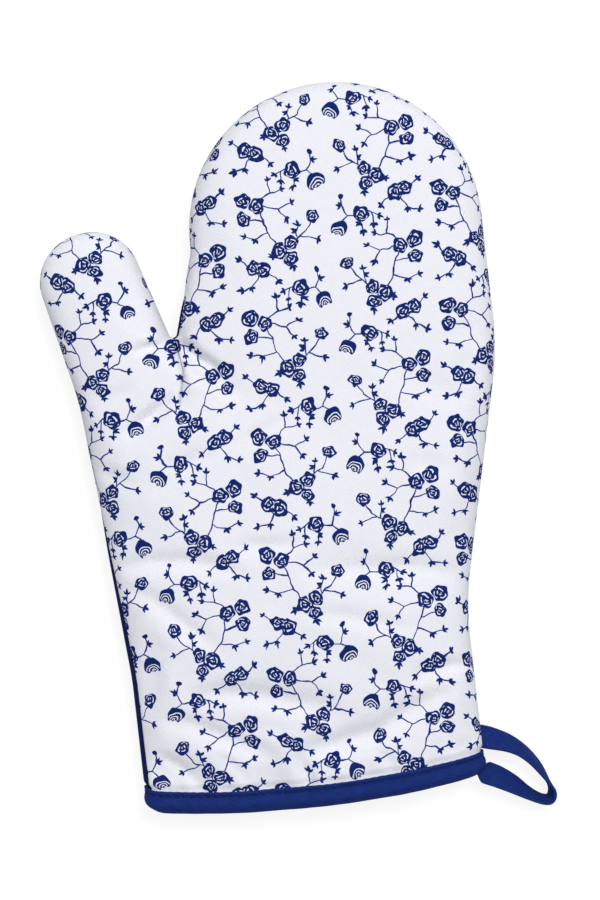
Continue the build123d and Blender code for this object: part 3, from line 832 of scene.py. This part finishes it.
def front_roll(columns, rings, sunk):
    """The front's rolled side, from the seam up to the field."""
    start = SEAM_AT[columns] if sunk == 0 else np.zeros(len(columns))
    angle = start + (pi / 2 - start) * np.linspace(0, 1, rings)[:, None] ** 1.2
    inset, height = rolled(columns, angle, sunk)
    if sunk == 0:
        inset = inset + SEAM_PULL * np.exp(-((angle - start) / 0.09) ** 2)
    inset[-1] = ROLL_REACH
    fine = np.linspace(0, pi / 2, 400)
    up, out = roll(fine)
    run = run_along(np.stack([(ROLL_HIGH - sunk) * up, (ROLL_REACH - sunk) * out], 1))
    unrolled = ROLL_REACH - (run[-1] - np.interp(angle, fine, run))
    flat = inset + (unrolled - inset) * smooth(FROM_CROTCH[columns] / CROTCH_EASE)
    flat[-1] = ROLL_REACH
    return inset, height, flat


def front_surface(sunk):
    """The front's height at places in its field, sunk so far below the cover's face."""
    pressed = sunk < PRESSED_DEPTH
    return lambda x, y: SEAM_HEIGHT + rise(x, y) - sunk - tucked(y) * pressed + folds(x, y, 1.0, sunk > 0)


# The front runs as cloth, blown up by its filling and cut 2% full below the thumb; the fingers are cut close.
SETTLE = {"quality": 6, "mass": 0.1, "tension_stiffness": 30.0, "compression_stiffness": 30.0,
          "shear_stiffness": 15.0, "bending_stiffness": 0.8, "use_pressure": True,
          "uniform_pressure_force": 3.0, "shrink_min": -0.02, "shrink_max": 0.0}
SETTLE_FRAMES = 20
BROAD, FINE, HIGHEST = 14.0, 2.2, 2.0  # the swelling that is left out, and the wrinkles' own width and height


def settle(laid, held, close):
    """Simulates a panel as cloth, held where it is sewn; gives where its points come to rest."""
    mesh = bpy.data.meshes.new("front as cloth")
    faces = [list(f) for f in (*laid["quads"], *laid["triangles"])]
    mesh.from_pydata((laid["points"] * MM).tolist(), [], faces)
    sheet = in_scene("front as cloth", mesh)
    for label, weights in (("sewn", held), ("cut close", close)):
        group = sheet.vertex_groups.new(name=label)
        for k, weight in enumerate(weights):
            group.add([k], float(weight), "REPLACE")
    run = sheet.modifiers.new("cloth", "CLOTH")
    for key, value in SETTLE.items():
        setattr(run.settings, key, value)
    run.settings.vertex_group_mass, run.settings.vertex_group_shrink = "sewn", "cut close"
    run.settings.effector_weights.gravity = 0.0
    run.collision_settings.use_collision = False
    run.point_cache.frame_start, run.point_cache.frame_end = 1, SETTLE_FRAMES
    for at in range(1, SETTLE_FRAMES + 1):
        scene.frame_set(at)
    made = sheet.evaluated_get(bpy.context.evaluated_depsgraph_get()).data
    points = np.empty(len(made.vertices) * 3)
    made.vertices.foreach_get("co", points)
    scene.frame_set(1)
    bpy.data.objects.remove(sheet)
    bpy.data.meshes.remove(mesh)
    return points.reshape(-1, 3) / MM


def spread(points, values, width):
    """Values at scattered places as a smooth field on the membrane's grid."""
    field = np.zeros_like(FULL)
    for j, y in enumerate(FULL_Y):
        near = np.abs(points[:, 1] - y) < 4 * width
        if near.any():
            away = (FULL_X[:, None] - points[near, 0]) ** 2 + (y - points[near, 1]) ** 2
            weight = np.exp(-away / (2 * width * width))
            field[:, j] = (weight @ values[near]) / (weight.sum(1) + 1e-6)
    return field


def wrinkles():
    """What the simulation adds to the front, without the broad swelling that the membrane already gives."""
    laid = panel(FEWER, *front_roll(FEWER, 8, 0.0), front_surface(0.0), 3.6, True)
    x, y = laid["points"][:, 0], laid["points"][:, 1]
    held = (np.arange(len(x)) < len(FEWER)) | (y < cuff_line(x) + BINDING_WIDTH + 1.0)
    lift = settle(laid, held, smooth((y + 10.0) / 80.0))[:, 2] - laid["points"][:, 2]
    fine = lift - on_grid(spread(laid["points"], lift, BROAD), x, y)
    return spread(laid["points"], np.clip(fine, -HIGHEST, HIGHEST), FINE)


# the back's side and field
UNDER_AT = np.array([0.0, 0.22, 0.45, 0.68, 0.85, 1.0])  # part of the way from the seam in under the mitt
UNDER_IN = np.array([0.0, 0.15, 0.9, 3.0, 6.6, ROLL_REACH])
UNDER_HIGH = np.array([SEAM_HEIGHT, 7.8, 4.2, 1.5, 0.35, 0.0])


def back_roll(columns, rings, sunk):
    """The back's rolled side, from the seam down over the side and in under the mitt."""
    pressed = sunk < PRESSED_DEPTH
    t = np.linspace(0, 1, rings)
    shy = BACK_SHY * (1 - smooth(DRAWN_UP[columns] / 0.8)) * pressed
    sides = [sunk + curve_through(UNDER_AT, side * (1 - sunk / side.max()), t)
             for side in (UNDER_IN, UNDER_HIGH)]
    inset, height = (np.repeat(side[:, None], len(columns), 1) for side in sides)
    inset = inset + shy * np.exp(-(t[:, None] / 0.45) ** 2)
    inset[-1] = ROLL_REACH
    press = tucked(in_plan(columns, inset)[..., 1]) * pressed
    under = smooth((SEAM_HEIGHT - height) / SEAM_HEIGHT)
    height = height + press * under
    inset[:-1] += (press * (1 - under))[:-1]
    if sunk == 0:  # from where the seam is drawn up, down to the seam's height
        angle = SEAM_AT[columns] * np.linspace(1, 0, 6)[:-1, None]
        over, high = rolled(columns, angle, 0.0)
        over = over + shy * np.cos(angle)
        inset, height = np.concatenate([over, inset]), np.concatenate([high, height])
        inset[0] += SEAM_PULL * (1 - smooth(shy / BACK_SHY))
    run = np.cumsum(np.hypot(np.diff(inset, axis=0), np.diff(height, axis=0)), axis=0)
    run = np.concatenate([np.zeros((1, len(columns))), run])
    flat = ROLL_REACH - (run[-1] - run)
    flat = inset + (flat - inset) * smooth(FROM_CROTCH[columns] / CROTCH_EASE)
    return inset, height, flat


def back_surface(sunk):
    """The back's height at places in its field, which lies flat."""
    return lambda x, y: sunk + tucked(y) * (sunk < PRESSED_DEPTH) + 0 * x


# covers, wadding and linings
LAYERS = [  # node, slot; material, thickness, depth, columns, rings, point spacing, crease, raw edge
    ("front_cover", "printed_cotton", (PRINTED, COVER, 0.0, ALL, 22, 1.3, CROTCH_CREASE[1:])),
    ("back_cover", "blue_cotton", (BLUE, COVER, 0.0, ALL, 16, 2.2)),
    ("front_wadding", "wadding", (FLUFF, WADDING, 1.5, FEWER, 8, 4.0)),
    ("back_wadding", "wadding", (FLUFF, WADDING, 1.0, FEWER, 8, 4.0)),
    ("front_lining", "lining_cotton", (LINED, LINING, WALL, FEWER, 10, 3.0, (), LINING_EDGE)),
    ("back_lining", "lining_cotton", (LINED, LINING, WALL, FEWER, 10, 3.0, (), LINING_EDGE)),
]


def sewn_layer(node, material, thickness, sunk, columns, rings, spacing, crease=(), inside_tape=RAW_EDGE):
    """The hand's and the thumb's pieces of one layer."""
    front = node.startswith("front")
    side, surface = (front_roll, front_surface) if front else (back_roll, back_surface)
    sewn = panel(columns, *side(columns, rings, sunk), surface(sunk), spacing, front, crease, inside_tape)
    return hand_and_thumb(node, sewn, material, thickness)


WRINKLES[:] = wrinkles()
pairs = [(sewn_layer(node, *sizes), node, slot) for node, slot, sizes in LAYERS]


# cuff binding
def mouth_section():
    """The mitt's section at the cuff, a closed line from the left side over the front and back underneath."""
    up, out = roll((pi / 2) * np.linspace(0, 1, 22))
    side = ROLL_REACH * (1 - out)
    middle = np.linspace(ROLL_REACH - CUFF_HALF, CUFF_HALF - ROLL_REACH, 90)[1:-1]
    x = np.concatenate([side - CUFF_HALF, middle, CUFF_HALF - side[::-1]])
    swell = np.concatenate([up, np.ones(len(middle)), up[::-1]])
    level = np.full(x.shape, CUFF_SIDE_Y + 4.0)
    top = SEAM_HEIGHT + rise(x, level) * swell + folds(x, level, swell)
    t = np.linspace(0, 1, 18)[1:]
    inset, height = (curve_through(UNDER_AT, under, t) for under in (UNDER_IN, UNDER_HIGH))
    right = np.stack([CUFF_HALF - inset, height], 1)
    flat = np.stack([middle[::-1], np.zeros(len(middle))], 1)
    line = np.concatenate([np.stack([x, top], 1), right, flat, right[::-1] * (-1, 1)])
    for _ in range(8):
        line = (np.roll(line, 1, 0) + 2 * line + np.roll(line, -1, 0)) / 4
    closed = np.concatenate([line, line[:1]])
    return closed, run_along(closed)


SECTION, SECTION_RUN = mouth_section()
STITCHES = int(SECTION_RUN[-1] / 3.2)  # of about 3.2 mm each
STITCH_PITCH = SECTION_RUN[-1] / STITCHES
STITCH_LINE = 6.7  # from the cuff's edge, 1.7 under the tape's upper edge
MOUTH_POINTS = STITCHES * 7
TAPE_CLOTH = 0.5  # thickness of the tape's cloth
TAPE_PROFILE = [  # up from the cuff's edge, and off the mitt's section: outside, round the edge, inside
    (8.5, -0.75), (8.55, -0.1), (8.4, 0.28), (8.0, 0.42), (7.5, 0.40), (7.1, 0.30), (6.8, 0.22), (6.5, 0.22),
    (6.1, 0.36), (5.6, 0.62), (5.0, 0.92), (4.2, 1.18), (3.4, 1.25), (2.6, 1.12), (1.9, 0.80), (1.3, 0.32),
    (0.7, -0.3), (0.15, -1.1), (-0.35, -2.0), (-0.75, -3.2), (-0.9, -4.6), (-0.6, -5.8), (0.2, -6.8),
    (1.2, -7.3), (2.6, -7.4), (4.4, -7.35), (6.4, -7.25), (8.0, -7.15), (8.6, -6.9), (8.7, -6.4)]


def along_mouth():
    """Points round the mouth and the direction out of the cloth at each."""
    s = np.arange(MOUTH_POINTS) * SECTION_RUN[-1] / MOUTH_POINTS
    x, z = np.interp(s, SECTION_RUN, SECTION[:, 0]), np.interp(s, SECTION_RUN, SECTION[:, 1])
    dx, dz = np.roll(x, -3) - np.roll(x, 3), np.roll(z, -3) - np.roll(z, 3)
    size = np.hypot(dx, dz)
    return s, x, z, -dz / size, dx / size


def tape_stand(s, up):
    """How far the tape stands off the cloth: drawn in by the topstitch, puffed over the wadding below it."""
    stitch = np.exp(-((up - STITCH_LINE) / 0.7) ** 2)
    between = 0.5 - 0.5 * np.cos(2 * pi * s / STITCH_PITCH)
    pucker = 0.10 * np.sin(2 * pi * (s / (2.0 * STITCH_PITCH) + up / 7.0)) * np.exp(-((up - 3.8) / 2.2) ** 2)
    lump = 0.15 * np.sin(s / 11.0 + 0.7) * np.exp(-((up - 3.0) / 3.0) ** 2)
    return pucker + lump - stitch * (0.30 + 0.40 * between)


def bound_cuff():
    """The cuff's binding: tape folded over the edge, right round the mouth."""
    s, x, z, out_x, out_z = along_mouth()
    points = []
    for up, stand in TAPE_PROFILE:
        off = stand + (tape_stand(s, up) if stand > -0.2 else 0.0)
        off = np.where(off > 0, off * (1 - 0.45 * out_x ** 2), off)  # drawn flatter round the sides
        wavy = 0.05 * np.cos(2 * pi * s / STITCH_PITCH) + 0.10 * np.sin(s / 8.0)
        wavy = smooth((up - 7.0) / 1.2) * wavy * (stand > -1)  # only the outer upper edge
        ring = [x + out_x * off, cuff_line(x) + up + wavy, np.maximum(z + out_z * off, 0.03)]
        points.append(np.stack(ring, 1))
    points = np.array(points).reshape(-1, 3)
    faces = tube_faces(len(TAPE_PROFILE), MOUTH_POINTS)[:, ::-1]
    flat = np.stack(np.meshgrid(s, run_along(np.array(TAPE_PROFILE))), -1).reshape(-1, 2)
    flat = flat * (0.6, 1.0) - (95, 100)  # so that it fits its UV square
    normals = facing(points, (faces,))
    return of_cloth("visual_cuff_binding", points, list(faces), flat, TAPE, TAPE_CLOTH, normals)


binding = bound_cuff()

# hanging loop
LOOP = np.array([  # x, y of the tape's middle line, and how far the tape has turned over there, in degrees
    (65.5, -98.4, 0), (71.2, -100.1, 12), (75.0, -101.5, 28), (80.5, -103.9, 46), (85.4, -107.2, 60),
    (89.5, -111.5, 68), (93.4, -117.4, 77), (95.8, -122.6, 90), (96.8, -126.6, 103), (95.6, -129.2, 107),
    (92.4, -128.9, 107), (90.0, -127.7, 109), (86.0, -125.1, 117), (80.7, -121.0, 136), (74.9, -117.2, 154),
    (68.9, -114.0, 170), (64.5, -111.0, 180)])
LOOP_POINTS, LOOP_AROUND = 180, 40


def tape_loop():
    """The hanging loop: a length of folded tape that turns over on its way round."""
    line = spline(LOOP, LOOP_POINTS)
    for _ in range(6):
        line[1:-1] = (line[:-2] + 2 * line[1:-1] + line[2:]) / 4
    line, tilt = line[:, :2], np.radians(line[:, 2])
    run = run_along(line)
    t = run / run[-1]
    heading = np.gradient(line, axis=0)
    heading /= np.linalg.norm(heading, axis=1)[:, None]
    level_way = np.zeros((LOOP_POINTS, 1))
    left = np.concatenate([-heading[:, 1:], heading[:, :1], level_way], 1)
    rest = np.sin(tilt) * TAPE_HALF_WIDTH + np.abs(np.cos(tilt)) + 0.1  # its height if it lay on the floor
    free = smooth(np.minimum(t, 1 - t) / 0.45)
    height = np.maximum(rest, SEAM_HEIGHT * (1 - free) + rest * free)
    across = left * np.cos(tilt)[:, None] - np.array((0, 0, 1.0)) * np.sin(tilt)[:, None]
    out = np.cross(np.concatenate([heading, level_way], 1), across)
    out *= np.sign(out[0, 2])
    a = np.linspace(0, 2 * pi, LOOP_AROUND, endpoint=False)
    wide = np.sign(np.cos(a)) * np.abs(np.cos(a)) ** 0.5 * TAPE_HALF_WIDTH
    thick = np.sign(np.sin(a)) * np.abs(np.sin(a)) ** 0.55 * TAPE_HALF_THICK
    thick = thick * (1 - 0.30 * np.exp(-((np.abs(wide) - 3.3) / 0.5) ** 2))  # pressed in along its edges
    narrow = 1 - 0.65 * smooth((70.5 - line[:, 0]) / 4.0) * (t > 0.5)  # gathered where it goes into the cuff
    across = across * narrow[:, None]
    centre = np.concatenate([line, height[:, None]], 1)
    points = centre[:, None] + across[:, None] * wide[None, :, None] + out[:, None] * thick[None, :, None]
    faces = tube_faces(LOOP_POINTS, LOOP_AROUND).tolist()
    last = (LOOP_POINTS - 1) * LOOP_AROUND
    faces += [list(range(LOOP_AROUND - 1, -1, -1)), list(range(last, last + LOOP_AROUND))]
    girth = run_along(np.stack([wide, thick], 1))
    flat = np.stack(np.meshgrid(run, girth, indexing="ij"), -1)
    return piece("visual_hanging_loop", points.reshape(-1, 3), faces, flat.reshape(-1, 2), TAPE)


hanging_loop = tape_loop()

# stitches
TOP_STITCH = (STITCH_PITCH, 2.3, 0.55)  # from one stitch to the next, a stitch's length, the thread
SEAM_STITCH = (2.6, 2.3, 0.45)
SEAM_INSET = 3.2  # of the seam's thread from the mitt's outline


def stitch_row():
    """Geometry Nodes: a row of thread stitches along a line, each a short drawn-down ellipse of thread."""
    tree = bpy.data.node_groups.new("stitch row", "GeometryNodeTree")
    add = partial(add_node, tree)
    face = tree.interface
    face.new_socket("Line", in_out="INPUT", socket_type="NodeSocketGeometry")
    for label, value in (("Pitch", 0.0032), ("Stitch", 0.0022), ("Thread", 0.0005)):
        face.new_socket(label, in_out="INPUT", socket_type="NodeSocketFloat").default_value = value
    face.new_socket("Finish", in_out="INPUT", socket_type="NodeSocketMaterial")
    face.new_socket("Stitches", in_out="OUTPUT", socket_type="NodeSocketGeometry")
    given = {socket.name: socket for socket in tree.nodes.new("NodeGroupInput").outputs}
    line = {"Curve": given["Line"], "Length": given["Pitch"]}
    spaced = add("GeometryNodeCurveToPoints", line, mode="LENGTH").node.outputs
    bead = add("GeometryNodeMeshUVSphere", {"Segments": 8, "Rings": 6, "Radius": 0.5})
    size = add("CombineXYZ", given["Thread"], given["Thread"], given["Stitch"])
    laid = add("GeometryNodeInstanceOnPoints", {"Points": spaced["Points"], "Instance": bead,
                                                      "Rotation": spaced["Rotation"], "Scale": size})
    real = add("GeometryNodeRealizeInstances", laid)
    done = add("GeometryNodeSetMaterial", {"Geometry": real, "Material": given["Finish"]})
    tree.links.new(done, tree.nodes.new("NodeGroupOutput").inputs["Stitches"])
    return tree


STITCH_ROW = stitch_row()


def stitched(name, lines, material, pitch, stitch, width):
    """A piece of stitches along lines of points in millimetres; a closed line ends where it starts."""
    path = bpy.data.curves.new(name, "CURVE")
    path.dimensions = "3D"
    for points in lines:
        run = path.splines.new("POLY")
        run.points.add(len(points) - 1)
        run.points.foreach_set("co", np.concatenate([points * MM, np.ones((len(points), 1))], 1).ravel())
    row = in_scene(name, path)
    nodes = row.modifiers.new("stitch row", "NODES")
    nodes.node_group = STITCH_ROW
    sizes = {"Pitch": pitch * MM, "Stitch": stitch * MM, "Thread": width * MM, "Finish": material}
    for socket in STITCH_ROW.interface.items_tree:
        if socket.name in sizes:
            nodes[socket.identifier] = sizes[socket.name]
    mesh = bpy.data.meshes.new_from_object(row.evaluated_get(bpy.context.evaluated_depsgraph_get()))
    bpy.data.objects.remove(row)
    bpy.data.curves.remove(path)
    mesh.polygons.foreach_set("use_smooth", np.ones(len(mesh.polygons), bool))
    mesh.name = name
    return in_scene(name, mesh)


def topstitch():
    """The row of stitches that holds the binding, half sunk in the tape."""
    _, x, z, out_x, out_z = along_mouth()
    off = 0.06
    points = np.stack([x + out_x * off, cuff_line(x) + STITCH_LINE, np.maximum(z + out_z * off, 0.25)], 1)
    row = np.concatenate([points, points[:1]])
    return stitched("visual_binding_topstitch", [row], BLUE_THREAD, *TOP_STITCH)


def seam_threads():
    """The seam's thread, the hand's part and the thumb's."""
    at = np.concatenate([EDGE + INWARD * SEAM_INSET, np.full((len(EDGE), 1), SEAM_HEIGHT)], 1)
    at[:, 1] = cuffed(at[:, 0], at[:, 1])
    hand, thumb = [at[3:AT_CROTCH], at[AT_LEFT + 1:-3]], [at[AT_CROTCH:AT_LEFT + 1]]
    return [stitched("visual_seam_thread" + suffix, lines, WHITE_THREAD, *SEAM_STITCH)
            for suffix, lines in (("", hand), ("_thumb", thumb))]


stitches = topstitch()
pairs.append((seam_threads(), "seam_thread", "white_thread"))

# the hand's pieces, binding and topstitch hang from the mitt's body, the thumb's pieces stay in the scene's
# frame, and the CAD parts they replace are hidden
for (hand, thumb), node, slot in pairs:
    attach(hand, "mitt")
    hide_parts(node)
    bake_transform(thumb)
    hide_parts(node + "_thumb")
    for made in (hand, thumb):
        if "cut" in made:
            del made["cut"]
for made, node, slot in ((binding, "cuff_binding", "blue_tape"),
                         (stitches, "binding_topstitch", "blue_thread")):
    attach(made, "mitt")
    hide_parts(node)
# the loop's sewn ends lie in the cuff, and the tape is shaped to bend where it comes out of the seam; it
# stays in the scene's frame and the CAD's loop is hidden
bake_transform(hanging_loop)
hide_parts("hanging_loop")

# floor, light and camera
FLOOR_HALF, FLOOR_Z = 2500, -0.3  # in millimetres
PAPER, SEEN_PAPER, PAPER_GLOW = (0.70, 0.70, 0.71, 1), (0.20, 0.20, 0.20, 1), 0.86
WHITE, ROOM_LIGHT = (1, 1, 1, 1), (0.251, 0.262, 0.27, 1)
LIGHTS = [  # place, aim and side in metres, watts
    ("soft box", (1.45, 2.05, 5.0), (0.0, 0.02, 0.0), 2.0, 213.0),
    ("fill box", (-1.75, 0.25, 3.75), (0.0, 0.0, 0.0), 2.5, 28.0)]
CAMERA_PLACE, CAMERA_TURN, LENS, FILM_HIGH = (0.00915, 0.0257, 1.2), radians(-6.5), 115.7, 36.0


def seen_as_background(add):
    """1 where a ray comes from the camera, straight or by way of a shiny surface or a clear one."""
    path = add("LightPath").node.outputs
    seen = add("Math.ADD", path["Is Camera Ray"], path["Is Glossy Ray"])
    return add("Math.ADD", seen, path["Is Transmission Ray"], use_clamp=True)


def paper_floor():
    """White paper that the mitt lies on: it looks as white as the background, apart from a faint shadow."""
    white = bpy.data.materials.new("white paper floor")
    white.use_nodes = True
    tree = white.node_tree
    tree.nodes.clear()
    add = partial(add_node, tree)
    paper = add("BsdfDiffuse", {"Color": PAPER})
    shade = add("BsdfDiffuse", {"Color": SEEN_PAPER})
    glow = add("Emission", {"Color": WHITE, "Strength": PAPER_GLOW})
    seen = add("AddShader", shade, glow)
    mixed = add("MixShader", seen_as_background(add), paper, seen)
    tree.links.new(mixed, tree.nodes.new("ShaderNodeOutputMaterial").inputs["Surface"])
    corners = [(x * FLOOR_HALF, y * FLOOR_HALF, FLOOR_Z) for x, y in ((-1, -1), (1, -1), (1, 1), (-1, 1))]
    piece("floor", corners, [(0, 1, 2, 3)], None, white)


def studio():
    """The room's light, two soft boxes and the camera over the mitt."""
    world = bpy.data.worlds.new("soft room")
    scene.world = world
    world.use_nodes = True
    tree = world.node_tree
    add = partial(add_node, tree)
    room = add("Mix", {0: seen_as_background(add), 6: ROOM_LIGHT, 7: WHITE}, out=2, data_type="RGBA")
    tree.links.new(room, tree.nodes["Background"].inputs["Color"])
    for name, place, aim, side, watts in LIGHTS:
        light = bpy.data.lights.new(name, "AREA")
        light.shape, light.size, light.energy = "SQUARE", side, watts
        lamp = in_scene(name, light)
        lamp.location = place
        lamp.rotation_euler = (Vector(aim) - Vector(place)).to_track_quat("-Z", "Y").to_euler()
    lens = bpy.data.cameras.new("camera")
    lens.sensor_fit, lens.sensor_height, lens.lens = "VERTICAL", FILM_HIGH, LENS
    lens.clip_start, lens.clip_end = 0.01, 20.0
    camera = in_scene("camera", lens)
    camera.location, camera.rotation_euler = CAMERA_PLACE, (0, 0, CAMERA_TURN)
    scene.camera = camera
    scene.view_settings.view_transform = "Standard"


paper_floor()
studio()
